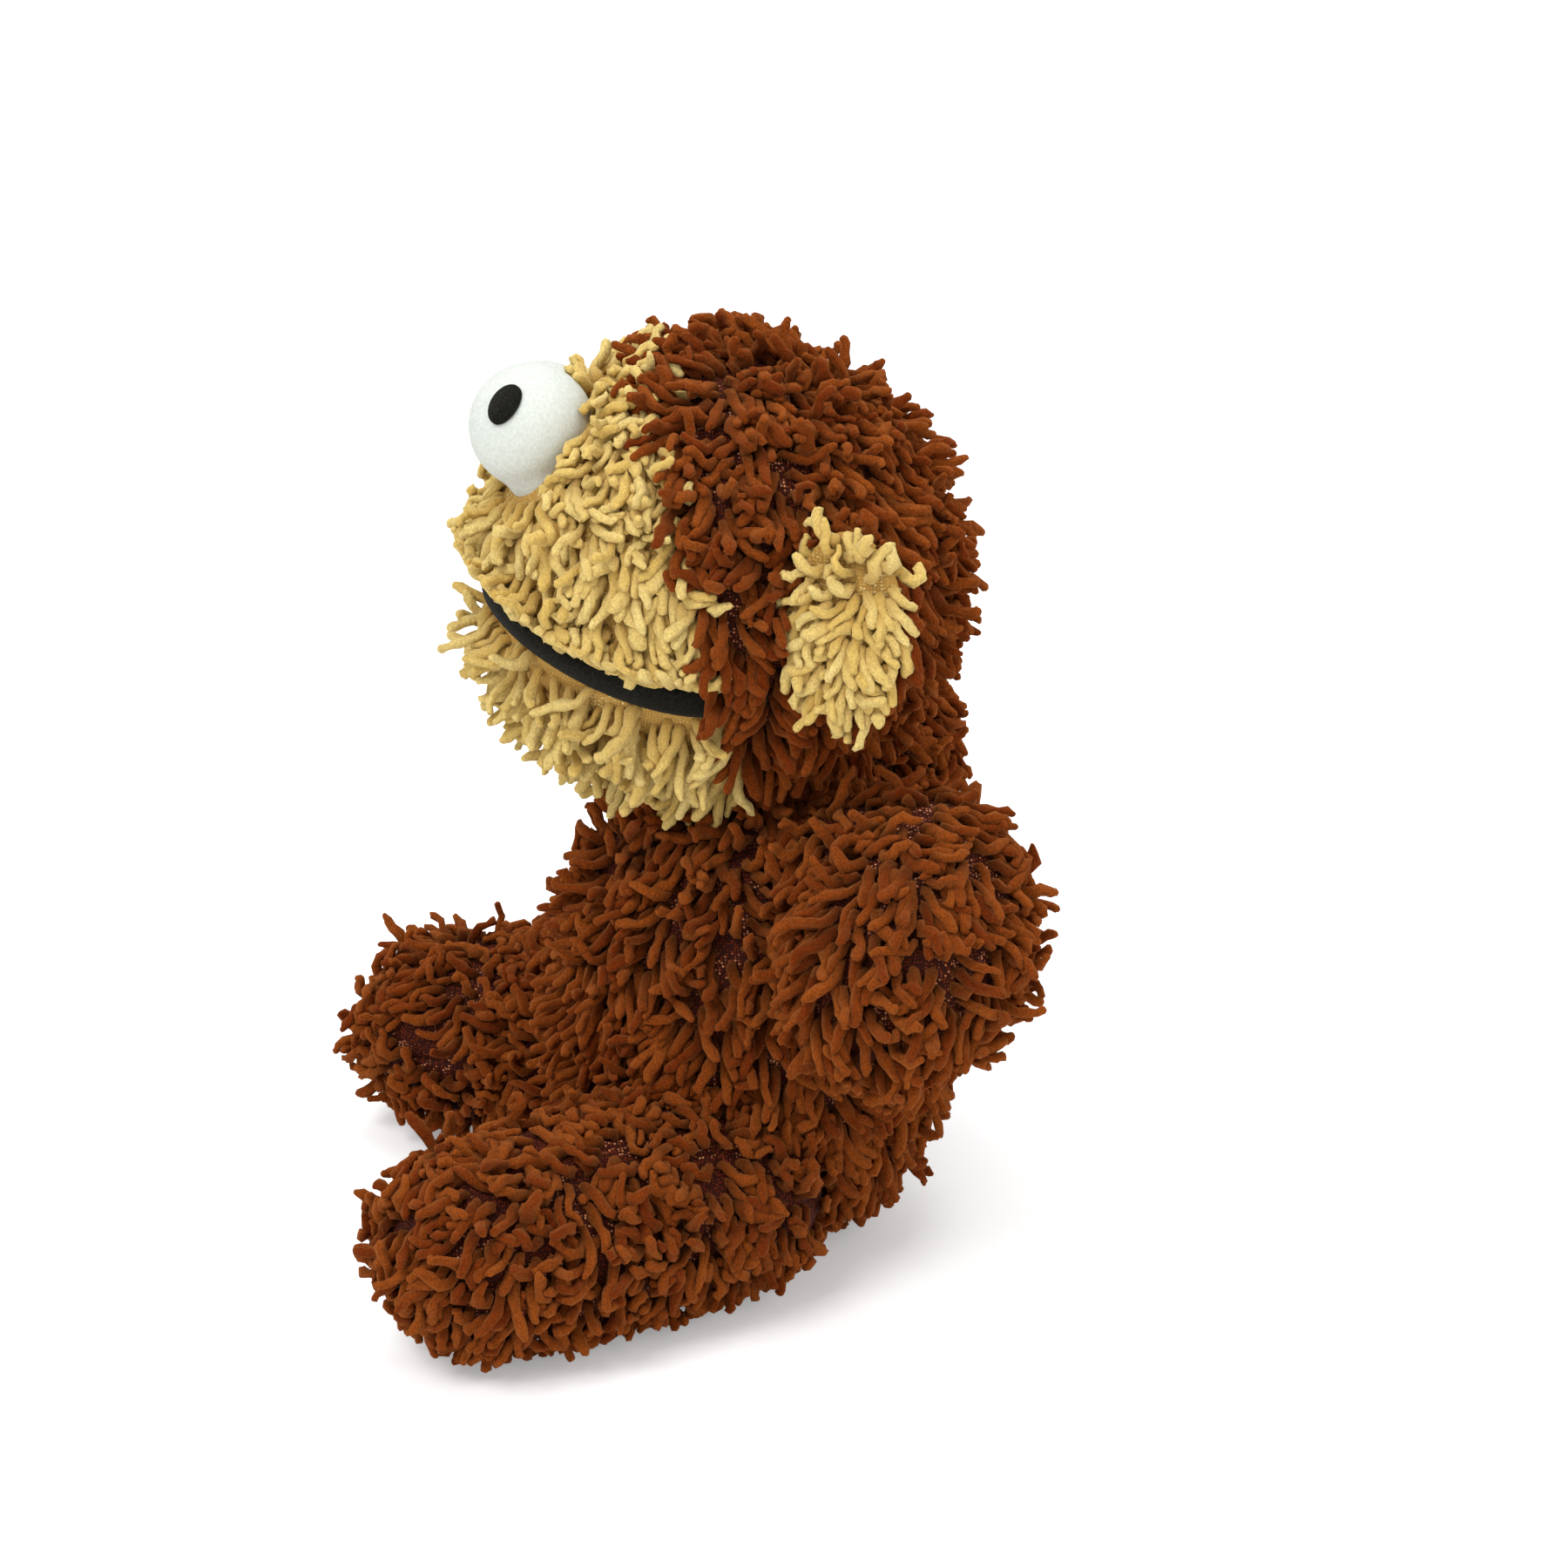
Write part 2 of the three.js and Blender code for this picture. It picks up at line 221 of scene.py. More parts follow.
@dataclass(frozen=True)
class Chenille:
    """Microfibre chenille with random tones, painted shade at roots and between fibres, painted sheen at
    outlines.
    """

    name: str
    # painted shade: the darkest colour, used for the roots and the gaps between fibres
    deep: tuple
    body: tuple
    # pale end of the random tones, and the colour of the painted sheen at the outlines
    light: tuple
    sheen: float
    sheen_tint: tuple
    streak: float = 0.6  # how much painted shade darkens the gaps between fibres
    root_shade: float = 0.85  # how much painted shade darkens a strand's root
    frost: float = 0.5  # how much a painted sheen pales the fuzz at a strand's outline

    def material(self, fuzz: bpy.types.NodeTree) -> bpy.types.Material:
        """Builds the material.

        Args:
            fuzz: The shared brushed_fibres group.

        Returns:
            The material, which reads the strands' own attributes.
        """
        made, add, surface = new_finish(self.name)
        where = add.node("TexCoord").outputs["Object"]
        strand = add.node("Attribute", attribute_name="strand").outputs["Fac"]
        along = add.node("Attribute", attribute_name="along").outputs["Fac"]
        fibres = add.noise(where, 0.6 * MM, 4.0, 0.8)
        patches = add.noise(where, 14 * MM, 2.0)
        tone = add.maths("ADD", add.maths("MULTIPLY", strand, 0.5), add.maths("MULTIPLY", patches, 0.5))
        base = add.mix(add.spread(tone, 0.25, 0.75), self.body, self.light)
        # painted shade in the gaps between fibres, drawn from a fine fibre noise
        gap_shaded = add.mix(add.spread(fibres, 0.36, 0.6, self.streak, 0.0), base, self.deep)
        # painted shade at the roots: darker towards the root, by the along attribute
        root_shaded = add.mix(add.spread(along, 0.0, 0.6, self.root_shade, 0.0), gap_shaded, self.deep)
        # painted sheen: paler towards the outline as the surface turns away from the camera
        facing = add.node("LayerWeight", {"Blend": 0.4}).outputs["Facing"]
        with_rim_sheen = add.mix(add.spread(facing, 0.35, 0.95, 0.0, self.frost), root_shaded, self.light)
        group = add.node("Group", node_tree=fuzz)
        add.feed(surface, {"Base Color": with_rim_sheen, "Normal": group.outputs["Normal"], "Roughness": 0.92,
                           "Specular IOR Level": 0.04, "Sheen Weight": self.sheen, "Sheen Roughness": 0.45,
                           "Sheen Tint": self.sheen_tint})
        return made


@dataclass(frozen=True)
class Knit:
    """The knitted backing, whose filament loops carry painted glints in the gaps of the pile."""

    name: str
    ground: tuple
    loop: tuple
    glint: tuple
    pitch: float = 0.85 * MM

    def material(self) -> bpy.types.Material:
        """Builds the material from rows of loops in the piece's own coordinates.

        Returns:
            The material.
        """
        made, add, surface = new_finish(self.name)
        where = add.node("TexCoord").outputs["Object"]
        cells = add.node("TexVoronoi", {"Vector": where, "Scale": 1 / self.pitch, "Randomness": 0.55})
        loops = add.spread(cells.outputs["Distance"], 0.15, 0.5, 1.0, 0.0)
        patches = add.spread(add.noise(where, 9 * MM, 1.0), 0.48, 0.6)
        # painted glints: bright dots of the glint colour on the loops, in patches
        sparkle = add.maths("MULTIPLY", add.spread(cells.outputs["Color"], 0.5, 0.65), patches)
        colour = add.mix(loops, self.ground, self.loop)
        bright = add.mix(add.maths("MULTIPLY", loops, sparkle), colour, self.glint)
        bump = add.node("Bump", {"Height": loops, "Distance": 0.3 * MM, "Strength": 0.9})
        add.feed(surface, {"Base Color": bright, "Normal": bump.outputs["Normal"], "Roughness": 0.7,
                           "Specular IOR Level": 0.1})
        return made


@dataclass(frozen=True)
class Felt:
    """Pressed or brushed plain cloth with a fine fibre relief."""

    name: str
    body: tuple
    light: tuple
    fibre: float = 0.5 * MM
    depth: float = 0.15 * MM
    sheen: float = 0.3

    def material(self, fuzz: bpy.types.NodeTree) -> bpy.types.Material:
        """Builds the material.

        Args:
            fuzz: The shared brushed_fibres group.

        Returns:
            The material.
        """
        made, add, surface = new_finish(self.name)
        where = add.node("TexCoord").outputs["Object"]
        fibres = add.spread(add.noise(where, self.fibre, 3.0, 0.7), 0.4, 0.65)
        group = add.node("Group", node_tree=fuzz)
        add.feed(group, {"Fibre": self.fibre, "Lump": self.fibre * 6, "Depth": self.depth})
        add.feed(surface, {"Base Color": add.mix(fibres, self.body, self.light),
                           "Normal": group.outputs["Normal"], "Roughness": 0.95, "Specular IOR Level": 0.05,
                           "Sheen Weight": self.sheen, "Sheen Roughness": 0.5})
        return made


class Wardrobe:
    """Every material of the toy, built once."""

    def __init__(self) -> None:
        """Builds the shared group and the materials that use it."""
        fuzz = fuzz_effect()
        # each chenille's first colour is its painted shade; its last is its pale tone and its painted sheen
        brown = Chenille("brown_chenille_pile", rgba(30, 8, 1), rgba(121, 47, 10), rgba(156, 77, 24),
                         sheen=0.24, sheen_tint=(1.0, 0.44, 0.15, 1.0))
        tan = Chenille("tan_chenille_pile", rgba(174, 130, 58), rgba(229, 195, 108), rgba(245, 221, 144),
                       sheen=0.25, sheen_tint=(1.0, 0.82, 0.45, 1.0))
        self.pile = {Cloth.BROWN: brown.material(fuzz), Cloth.TAN: tan.material(fuzz)}
        # the third colour of each knit is its painted glint
        brown_back = Knit("brown_knit", rgba(48, 14, 5), rgba(118, 46, 20), rgba(240, 160, 112))
        tan_back = Knit("tan_knit", rgba(172, 132, 66), rgba(218, 182, 102), rgba(255, 238, 172))
        self.knit = {Cloth.BROWN: brown_back.material(), Cloth.TAN: tan_back.material()}
        fleece = Felt("white_fleece_nap", rgba(201, 206, 199), rgba(215, 220, 213), fibre=0.9 * MM,
                      depth=0.3 * MM, sheen=0.1)
        felt = Felt("black_felt_nap", rgba(14, 14, 11), rgba(38, 37, 31), sheen=0.04)
        fill = Felt("fibre_fill", rgba(235, 233, 226), rgba(250, 249, 244), fibre=1.2 * MM, depth=0.6 * MM)
        self.fleece, self.felt, self.fill = (cloth.material(fuzz) for cloth in (fleece, felt, fill))


# --------------------------------------------------------------------------- padded forms


@dataclass(frozen=True)
class Bead:
    """An oval solid, from which every padded form is joined."""

    centre: Vector
    radii: Vector
    turn: Matrix = field(default_factory=lambda: Matrix.Identity(3))

    def depth(self, points: Points) -> tuple[Points, Points]:
        """How far points stand off the oval.

        Args:
            points: Places, one a row.

        Returns:
            Signed distances, negative inside, and the outward directions.
        """
        turn = np.array(self.turn)
        radii = np.array(self.radii)
        local = (points - np.array(self.centre)) @ turn
        slope = local / radii**2
        steep = np.maximum(np.linalg.norm(slope, axis=1), 1e-9)
        reach = np.linalg.norm(local / radii, axis=1)
        return reach * (reach - 1) / steep, (slope / steep[:, None]) @ turn.T

    def add_to(self, mesh: bmesh.types.BMesh, around: int, rows: int) -> None:
        """Adds the oval's surface to a mesh."""
        place = Matrix.Translation(self.centre) @ self.turn.to_4x4() @ Matrix.Diagonal((*self.radii, 1))
        bmesh.ops.create_uvsphere(mesh, u_segments=around, v_segments=rows, radius=1, matrix=place)


def to_scene(name: str, data: bpy.types.ID) -> bpy.types.Object:
    """Puts a new object into the scene.

    Args:
        name: The object's name.
        data: Its mesh, camera or light.

    Returns:
        The object.
    """
    made = bpy.data.objects.new(name, data)
    bpy.context.scene.collection.objects.link(made)
    return made


class Form:
    """A padded shape made of one or more beads."""

    def __init__(self, body: str, beads: list[Bead]) -> None:
        """Takes the body that the form rides on, and its beads."""
        self.body = body
        self.beads = beads

    def depth(self, points: Points) -> tuple[Points, Points]:
        """How far points stand off the joined beads.

        Args:
            points: Places, one a row.

        Returns:
            Signed distances, negative inside, and the outward directions.
        """
        near, out = self.beads[0].depth(points)
        for bead in self.beads[1:]:
            distance, outward = bead.depth(points)
            closer = distance < near
            near = np.where(closer, distance, near)
            out = np.where(closer[:, None], outward, out)
        return near, out

    def surface(self, voxel: float = 2.2 * MM, rounding: int = 6) -> bmesh.types.BMesh:
        """The form's skin as one closed mesh.

        Args:
            voxel: The grid on which several beads are joined.
            rounding: How many times the joins are smoothed.

        Returns:
            A new bmesh that the caller frees.
        """
        mesh = bmesh.new()
        single = len(self.beads) == 1
        for bead in self.beads:
            bead.add_to(mesh, *((80, 44) if single else (48, 28)))
        if single:
            return mesh
        data = bpy.data.meshes.new("joining")
        mesh.to_mesh(data)
        mesh.free()
        holder = to_scene("joining", data)
        grid = holder.modifiers.new("join", "REMESH")
        grid.mode = "VOXEL"
        grid.voxel_size = voxel
        smooth = holder.modifiers.new("smooth", "SMOOTH")
        smooth.factor = 0.5
        smooth.iterations = rounding
        joined = bmesh.new()
        joined.from_object(holder, bpy.context.evaluated_depsgraph_get())
        bpy.data.objects.remove(holder)
        bpy.data.meshes.remove(data)
        return joined


def as_piece(name: str, mesh: bmesh.types.BMesh, material: bpy.types.Material) -> bpy.types.Object:
    """Turns a bmesh into a smooth-shaded object at the origin.

    Args:
        name: The piece's name.
        mesh: Its surface, which is freed here.
        material: Its finish.

    Returns:
        The new object.
    """
    data = bpy.data.meshes.new(name)
    for face in mesh.faces:
        face.smooth = True
    mesh.to_mesh(data)
    mesh.free()
    data.materials.append(material)
    return to_scene(name, data)


def thicken(piece: bpy.types.Object, thickness: float) -> None:
    """Makes a piece's open skin a closed sheet, inwards.

    Args:
        piece: The piece.
        thickness: The sheet's thickness in metres.
    """
    shell = piece.modifiers.new("thickness", "SOLIDIFY")
    shell.thickness = thickness
    shell.offset = -1


def declare(piece: bpy.types.Object, body: str, cloth: Cloth, *nodes: str) -> bpy.types.Object:
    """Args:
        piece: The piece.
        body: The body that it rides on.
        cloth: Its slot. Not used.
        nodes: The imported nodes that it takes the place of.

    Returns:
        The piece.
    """
    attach(piece, body)
    if nodes:
        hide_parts(*nodes)
    LOG.info("%s rides on %s, %d vertices", piece.name, body, len(piece.data.vertices))
    return piece


# --------------------------------------------------------------------------- chenille strands


Fence = Callable[[Points], tuple[Points, Points]]


@dataclass(frozen=True)
class Comb:
    """How the strands of a panel lie. Lengths in millimetres.

    Attributes:
        whorl: The place that they part from.
        fall: The pull towards the floor, against one unit away from the whorl.
        stray: The strength of the wandering of neighbouring strands together.
        stand: Least and greatest angle between a strand's root and the surface's normal, in degrees.
        lie: The same for its tip.
        length: Least and greatest length of a strand.
        spacing: The least distance between two roots.
        hem: How strongly the strands beside a fence lie along it.
        seat: The share of its length that a strand keeps where it faces the floor.
        parted: The height of the partings' waves from which a place bears no strands.
        cloth: What the strands are made of.
        fence: How far places stand on the strands' side of a line, and the way back to that side.
    """

    whorl: Vector
    fall: float
    stray: float = 0.9
    stand: tuple[float, float] = (15, 60)
    lie: tuple[float, float] = (60, 108)
    length: tuple[float, float] = (13.0, 18.0)
    spacing: float = 3.55
    hem: float = 0.0
    seat: float = 1.0
    parted: float = 1.45
    cloth: Cloth = Cloth.BROWN
    fence: Fence | None = None


class Waves:
    """A smooth random vector field: what neighbouring strands share."""

    COUNT = 20

    def __init__(self, rng: np.random.Generator, shortest: float, longest: float) -> None:
        """Draws the waves.

        Args:
            rng: The source of chance.
            shortest: The shortest wavelength in metres.
            longest: The longest.
        """
        ways = unit(rng.normal(size=(self.COUNT, 3)))
        lengths = rng.uniform(shortest, longest, self.COUNT)
        self.numbers = ways * (2 * np.pi / lengths)[:, None]
        self.phases = rng.uniform(0, 2 * np.pi, (3, self.COUNT))
        self.scale = math.sqrt(2.0 / self.COUNT)

    def at(self, points: Points) -> Points:
        """The field's vectors at some places."""
        turns = points @ self.numbers.T
        return np.stack([np.sin(turns + phase).sum(axis=1) for phase in self.phases], axis=1) * self.scale


@dataclass
class Tuft:
    """The strands of one panel, before they are laid: their roots, outward directions and comb."""

    name: str
    body: str
    roots: Points
    normals: Points
    comb: Comb


NEIGHBOURS = [(i, j, k) for i in (-1, 0, 1) for j in (-1, 0, 1) for k in (-1, 0, 1)]
TRIES = 9  # places tried for each square of the spacing


def scatter(mesh: bmesh.types.BMesh, spacing: float, rng: np.random.Generator) -> Points:
    """Even but irregular places on a surface.

    Args:
        mesh: The surface.
        spacing: The least distance between two places.
        rng: The source of chance.

    Returns:
        The places, one a row.
    """
    triangles = np.array([[corner.vert.co for corner in loops] for loops in mesh.calc_loop_triangles()])
    first, second, third = triangles[:, 0], triangles[:, 1], triangles[:, 2]
    areas = np.linalg.norm(np.cross(second - first, third - first), axis=1) / 2
    tries = int(areas.sum() / spacing**2 * TRIES)
    chosen = rng.choice(len(areas), tries, p=areas / areas.sum())
    across, up = rng.random(tries), rng.random(tries)
    folded = across + up > 1
    across[folded], up[folded] = 1 - across[folded], 1 - up[folded]
    places = (first[chosen] + across[:, None] * (second - first)[chosen]
              + up[:, None] * (third - first)[chosen])
    kept: dict[tuple[int, int, int], list[Points]] = {}
    result = []
    for place in places:
        cell = tuple(int(math.floor(value / spacing)) for value in place)
        nearby = (kept.get((cell[0] + i, cell[1] + j, cell[2] + k), ()) for i, j, k in NEIGHBOURS)
        if all(((other - place) ** 2).sum() >= spacing**2 for group in nearby for other in group):
            kept.setdefault(cell, []).append(place)
            result.append(place)
    return np.array(result)


def close_pairs(points: Points, reach: float) -> tuple[Points, Points]:
    """Pairs of points nearer than a reach, found on a grid.

    Args:
        points: Places, one a row.
        reach: The greatest distance of a pair.

    Returns:
        The two row numbers of each pair.
    """
    cells = np.floor((points - points.min(axis=0)) / reach).astype(np.int64) + 1
    spans = cells.max(axis=0) + 2
    keys = (cells[:, 0] * spans[1] + cells[:, 1]) * spans[2] + cells[:, 2]
    order = np.argsort(keys, kind="stable")
    ranked = keys[order]
    firsts, seconds = [], []
    for i, j, k in (step for step in NEIGHBOURS if step >= (0, 0, 0)):
        wanted = keys + (i * spans[1] + j) * spans[2] + k
        low = np.searchsorted(ranked, wanted, "left")
        count = np.searchsorted(ranked, wanted, "right") - low
        owner = np.repeat(np.arange(len(keys)), count)
        offset = np.arange(count.sum()) - np.repeat(np.cumsum(count) - count, count)
        other = order[np.repeat(low, count) + offset]
        valid = owner < other if (i, j, k) == (0, 0, 0) else owner != other
        firsts.append(owner[valid])
        seconds.append(other[valid])
    one, two = np.concatenate(firsts), np.concatenate(seconds)
    near = ((points[one] - points[two]) ** 2).sum(axis=1) < reach**2
    return one[near], two[near]


class Pile:
    """All of the toy's strands, laid together so that they rest on the forms and on each other."""

    NODES = 8
    THICKNESS = 2.8 * MM
    CONTACT = 2.45 * MM  # strands are soft, so their middles come closer than two radii
    REST = 1.1 * MM  # height of a strand's middle over what it lies on
    FLOOR_REST = 2.6 * MM
    FLOW_NOISE = 0.25  # how much each strand goes its own way
    STRAY_SHARE = 0.06  # strands that stand up on their own
    STRAY_STAND = (0, 20)
    STRAY_LIE = (5, 45)
    CROSSING_SHARE = 0.03  # strands that cross a fence
    CURL = 34  # degrees, the usual sideways bend along a strand
    WRIGGLE = 24  # degrees, the usual swing to and fro along a strand
    STOUTNESS = (0.84, 1.16)  # of one strand against another
    WAISTS = (0.85, 1.13)  # of one ring of a strand against another
    LUMPS = 0.23  # how uneven a strand's skin is, as a share of its radius
    HEM = 9 * MM  # how far from a fence the strands lie along it
    HEM_ALONG = 1.6
    HEM_TOWARDS = 0.9
    FENCE_ROOM = 1.4 * MM  # between a fence and the nearest roots
    UNDER = (-0.95, -0.35)  # upward parts of the normals between which a strand counts as facing the floor
    ROOT_SINK = 1.0 * MM
    TURNS = 36
    PAIRS_EVERY = 3  # turns between two searches for close strands
    PAIRS_REACH = 1.25  # of that search, in contact distances
    YIELD = 0.7  # the share of a press that is undone in a turn
    STRAIGHT = 1.8  # least distance between a node and the next but one, in steps
    SAG = 0.22 * MM  # how far a free node drops in a turn
    SIDES = 2  # bevel resolution: eight sides
    RINGS = (0.0, 0.17, 0.35, 0.53, 0.7, 0.86, 0.96, 1.0)
    PROFILE = (0.9, 1.0, 1.04, 1.02, 1.0, 0.92, 0.74, 0.36)

    def __init__(self, forms: list[Form], rng: np.random.Generator) -> None:
        """Starts an empty pile.

        Args:
            forms: The forms that strands lie on.
            rng: The source of chance.
        """
        self.forms = forms
        self.rng = rng
        self.tufts: list[Tuft] = []
        self.wander = Waves(rng, 12 * MM, 34 * MM)

    def start(self, tuft: Tuft) -> tuple[Points, Points]:
        """The strands of a panel as they leave their roots, before they touch anything.

        Args:
            tuft: The panel's roots and comb.

        Returns:
            Their nodes, as strand by node by axis, and their lengths.
        """
        comb, rng = tuft.comb, self.rng
        count = len(tuft.roots)
        parting = unit(tuft.roots - np.array(comb.whorl))
        flow = parting + np.array((0, 0, -comb.fall)) + comb.stray * self.wander.at(tuft.roots)
        flow += self.FLOW_NOISE * rng.normal(size=(count, 3))
        if comb.fence and comb.hem:
            distance, back = comb.fence(tuft.roots)
            along_hem = unit(np.cross(tuft.normals, back))
            along_hem *= -np.sign(along_hem[:, 1:2])
            beside = comb.hem * np.clip(1 - distance / self.HEM, 0, 1)[:, None]
            flow += beside * (self.HEM_ALONG * along_hem - self.HEM_TOWARDS * back)
        flow = unit(flow - (flow * tuft.normals).sum(axis=1, keepdims=True) * tuft.normals)
        aside = np.cross(tuft.normals, flow)
        curl = np.radians(rng.normal(0, self.CURL, count))
        stray = rng.random(count) < self.STRAY_SHARE

        def angles(straying: tuple[float, float], usual: tuple[float, float]) -> Points:
            """An angle for every strand, between other limits for the stray ones."""
            return np.radians(np.where(stray, rng.uniform(*straying, count), rng.uniform(*usual, count)))

        stand, lie = angles(self.STRAY_STAND, comb.stand), angles(self.STRAY_LIE, comb.lie)
        kept = np.interp(tuft.normals[:, 2], self.UNDER, (comb.seat, 1))
        lengths = rng.uniform(*comb.length, count) * kept * MM
        swing = np.radians(rng.normal(0, self.WRIGGLE, (2, count)))
        beat = rng.uniform(0, 2 * np.pi, (2, count))
        step = (lengths / (self.NODES - 1))[:, None]
        nodes = np.empty((count, self.NODES, 3))
        nodes[:, 0] = tuft.roots - tuft.normals * self.ROOT_SINK
        for index in range(1, self.NODES):
            along = (index - 1) / (self.NODES - 2)
            sway = swing * (np.sin(beat + 2 * np.pi * along) - np.sin(beat))
            angle = (stand + (lie - stand) * along**0.8 + 0.6 * sway[0])[:, None]
            side = (curl * along + sway[1])[:, None]
            level = flow * np.cos(side) + aside * np.sin(side)
            heading = tuft.normals * np.cos(angle) + level * np.sin(angle)
            nodes[:, index] = nodes[:, index - 1] + heading * step
        return nodes, lengths

    def separate(self, nodes: Points, pairs: tuple[Points, Points]) -> None:
        """Moves strands that press into each other apart.

        Args:
            nodes: All nodes, which are changed.
            pairs: The row numbers of the nodes that may touch.
        """
        flat = nodes.reshape(-1, 3)
        one, two = pairs
        gap = flat[one] - flat[two]
        distance = np.linalg.norm(gap, axis=1)
        pressed = distance < self.CONTACT
        one, two, gap, distance = one[pressed], two[pressed], gap[pressed], distance[pressed]
        press = (self.CONTACT - distance) * 0.5 * self.YIELD
        push = gap / np.maximum(distance, 1e-7)[:, None] * press[:, None]
        for axis in range(3):
            flat[:, axis] += np.bincount(one, push[:, axis], len(flat))
            flat[:, axis] -= np.bincount(two, push[:, axis], len(flat))

    def hold_off(self, nodes: Points, rows: list[slice], crossing: Points) -> None:
        """Lifts nodes out of every form and off the floor, and keeps them inside their fences.

        Args:
            nodes: All nodes, which are changed.
            rows: The rows of each panel.
            crossing: Which strands may cross their fence.
        """
        for tuft, mine in zip(self.tufts, rows):
            if tuft.comb.fence:
                kept = nodes[mine][:, 1:].reshape(-1, 3)
                distance, back = tuft.comb.fence(kept)
                outside = (distance < self.REST) & ~np.repeat(crossing[mine], self.NODES - 1)
                kept[outside] += back[outside] * (self.REST - distance[outside])[:, None]
                nodes[mine, 1:] = kept.reshape(-1, self.NODES - 1, 3)
        flat = nodes[:, 1:].reshape(-1, 3)
        for form in self.forms:
            distance, outward = form.depth(flat)
            inside = distance < self.REST
            flat[inside] += outward[inside] * (self.REST - distance[inside])[:, None]
        flat[:, 2] = np.maximum(flat[:, 2], self.FLOOR_REST)
        nodes[:, 1:] = flat.reshape(nodes[:, 1:].shape)

    def tighten(self, nodes: Points, lengths: Points) -> None:
        """Gives every strand its length and a limit to its bend.

        Args:
            nodes: All nodes, which are changed.
            lengths: The strands' lengths.
        """
        step = (lengths / (self.NODES - 1))[:, None]
        for index in range(1, self.NODES):
            if index > 1:
                back = nodes[:, index] - nodes[:, index - 2]
                reach = np.linalg.norm(back, axis=1, keepdims=True)
                short = np.maximum(self.STRAIGHT * step - reach, 0)
                nodes[:, index] += unit(back) * short
            nodes[:, index] = nodes[:, index - 1] + unit(nodes[:, index] - nodes[:, index - 1]) * step

    def lay(self) -> tuple[Points, list[slice]]:
        """Lays all strands.

        Returns:
            Their nodes, as strand by node by axis, and the rows of each panel.
        """
        starts = [self.start(tuft) for tuft in self.tufts]
        nodes = np.concatenate([nodes for nodes, _ in starts])
        lengths = np.concatenate([lengths for _, lengths in starts])
        ends = np.cumsum([len(tuft.roots) for tuft in self.tufts])
        rows = [slice(end - len(tuft.roots), end) for tuft, end in zip(self.tufts, ends)]
        anchored = nodes[:, 0].copy()
        crossing = self.rng.random(len(nodes)) < self.CROSSING_SHARE
        owner = np.repeat(np.arange(len(nodes)), self.NODES)
        rank = np.tile(np.arange(self.NODES), len(nodes))
        turns = self.TURNS
        pairs = (np.empty(0, int), np.empty(0, int))
        for turn in range(turns):
            nodes[:, 2:, 2] -= self.SAG * (1 - turn / turns)
            if turn % self.PAIRS_EVERY == 0:
                one, two = close_pairs(nodes.reshape(-1, 3), self.CONTACT * self.PAIRS_REACH)
                apart = (owner[one] != owner[two]) & (rank[one] + rank[two] > 1)
                pairs = (one[apart], two[apart])
            self.separate(nodes, pairs)
            self.hold_off(nodes, rows, crossing)
            nodes[:, 0] = anchored
            self.tighten(nodes, lengths)
        self.hold_off(nodes, rows, crossing)
        nodes[:, 0] = anchored
        LOG.info("laid %d strands", len(nodes))
        return nodes, rows

    def lines_through(self, nodes: Points) -> Points:
        """Smooth lines through the strands' nodes.

        Args:
            nodes: The laid strands, as strand by node by axis.

        Returns:
            The lines, as strand by ring by axis.
        """
        spots = np.array(self.RINGS) * (self.NODES - 1)
        low = np.minimum(spots.astype(int), self.NODES - 2)
        part = (spots - low)[None, :, None]
        root, tip = 2 * nodes[:, :1] - nodes[:, 1:2], 2 * nodes[:, -1:] - nodes[:, -2:-1]
        padded = np.concatenate([root, nodes, tip], axis=1)
        before, here, there, after = (padded[:, low + k] for k in range(4))
        return 0.5 * (2 * here + (there - before) * part
                      + (2 * before - 5 * here + 4 * there - after) * part**2
                      + (3 * here - before - 3 * there + after) * part**3)

    def tubes(self, name: str, lines: Points, radii: Points) -> bpy.types.Mesh:
        """Closed tubes about some lines.

        Args:
            name: The mesh's name.
            lines: The lines, as strand by ring by axis.
            radii: The tubes' radii at their rings, against the usual one.

        Returns:
            The mesh, whose vertices go strand by strand and ring by ring.
        """
        curve = bpy.data.curves.new(name, "CURVE")
        curve.dimensions = "3D"
        curve.bevel_depth = self.THICKNESS / 2
        curve.bevel_resolution = self.SIDES
        for line, thick in zip(lines, radii):
            spline = curve.splines.new("POLY")
            spline.points.add(len(line) - 1)
            spline.points.foreach_set("co", np.column_stack([line, np.ones(len(line))]).ravel())
            spline.points.foreach_set("radius", thick)
        holder = bpy.data.objects.new(name, curve)
        data = bpy.data.meshes.new_from_object(holder)
        bpy.data.objects.remove(holder)
        bpy.data.curves.remove(curve)
        data.name = name
        closing = bmesh.new()
        closing.from_mesh(data)
        bmesh.ops.holes_fill(closing, edges=[edge for edge in closing.edges if edge.is_boundary])
        bmesh.ops.recalc_face_normals(closing, faces=closing.faces)
        closing.to_mesh(data)
        closing.free()
        return data

